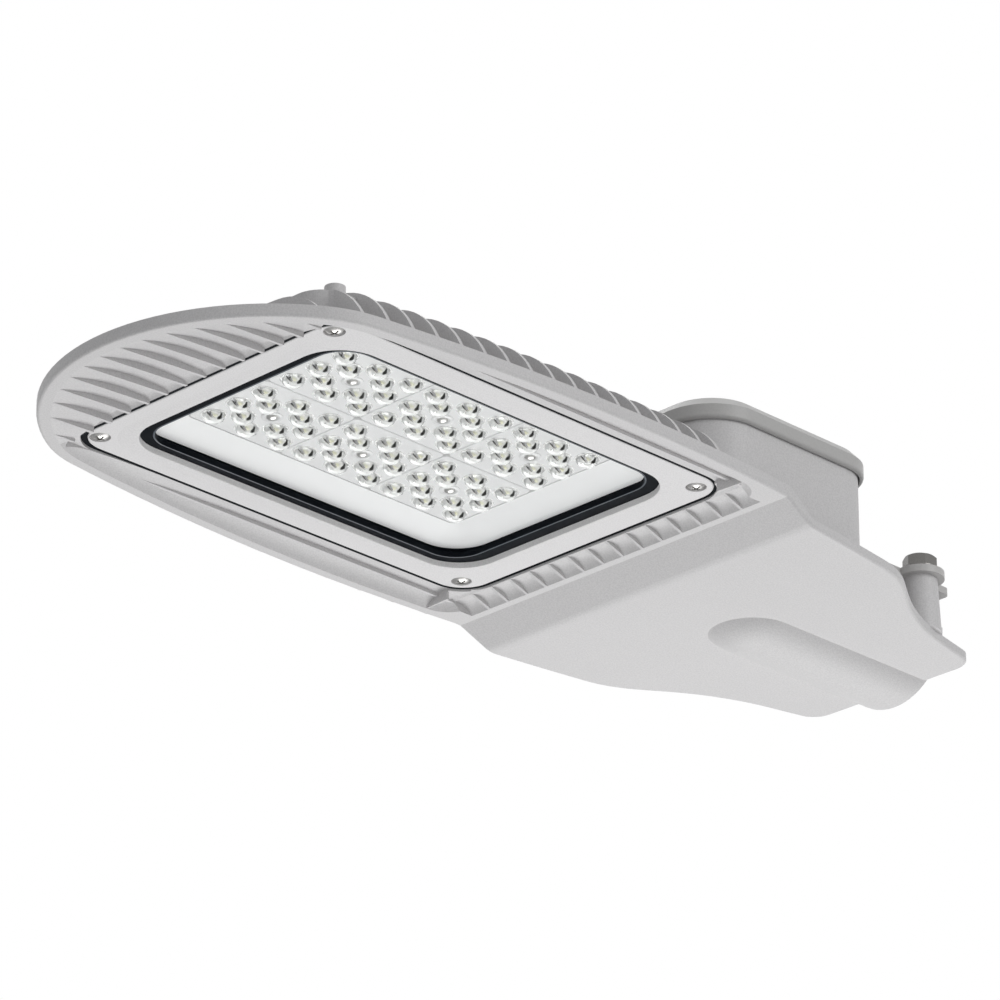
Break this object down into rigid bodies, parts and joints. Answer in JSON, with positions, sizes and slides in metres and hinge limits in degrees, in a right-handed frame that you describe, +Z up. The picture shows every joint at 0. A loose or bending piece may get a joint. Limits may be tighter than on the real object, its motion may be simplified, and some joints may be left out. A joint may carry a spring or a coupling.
{
  "type": "led street light head",
  "caption": "Flat LED street light head with a lens window, louvred rim, cooling fins, driver box and clamped pole socket.",
  "frame": {"origin": "on the pole socket's axis at its mouth", "axes": "+X along the socket out of its mouth, away from the nose; +Z up, the lens window faces down; +Y across"},
  "size_m": [0.4619, 0.1976, 0.064],
  "materials": {
    "powder_coat": "fine-textured warm silver-grey powder coat",
    "bezel_coat": "fine-textured warm silver-grey powder coat",
    "lid_coat": "satin silver-grey paint",
    "clamp_coat": "satin silver-grey paint",
    "black_rubber": "matt",
    "clear_glass": "clear",
    "white_tray": "satin white",
    "white_board": "satin white",
    "yellow_phosphor": "matt yellow",
    "clear_lens": "clear, glossy",
    "steel_screws": "bright",
    "zinc_steel": "bright zinc",
    "driver_case": "satin",
    "grey_plastic": "matt",
    "black_plastic": "satin",
    "brass_screw": "bright"
  },
  "bodies": {
    "root": {"housing": "powder_coat", "lens_bezel": "bezel_coat", "window_gasket": "black_rubber", "window_glass": "clear_glass", "reflector_tray": "white_tray", "led_board": "white_board", "led_chips": "yellow_phosphor", "lens_module_1": "clear_lens", "lens_module_2": "clear_lens", "lens_module_3": "clear_lens", "lens_module_4": "clear_lens", "lens_module_5": "clear_lens", "lens_module_6": "clear_lens", "module_screws": "steel_screws", "bezel_screws": "steel_screws", "driver_box_lid": "lid_coat", "lid_gasket": "black_rubber", "lid_screws": "steel_screws", "led_driver": "driver_case", "driver_screws": "steel_screws", "terminal_block": "grey_plastic", "cable_gland": "black_plastic", "gland_nut": "black_plastic", "wire_grommet": "black_rubber", "ground_screw": "brass_screw", "pole_clamp": "clamp_coat", "clamp_washers": "zinc_steel", "clamp_bolts": "zinc_steel"}
  },
  "joints": []
}
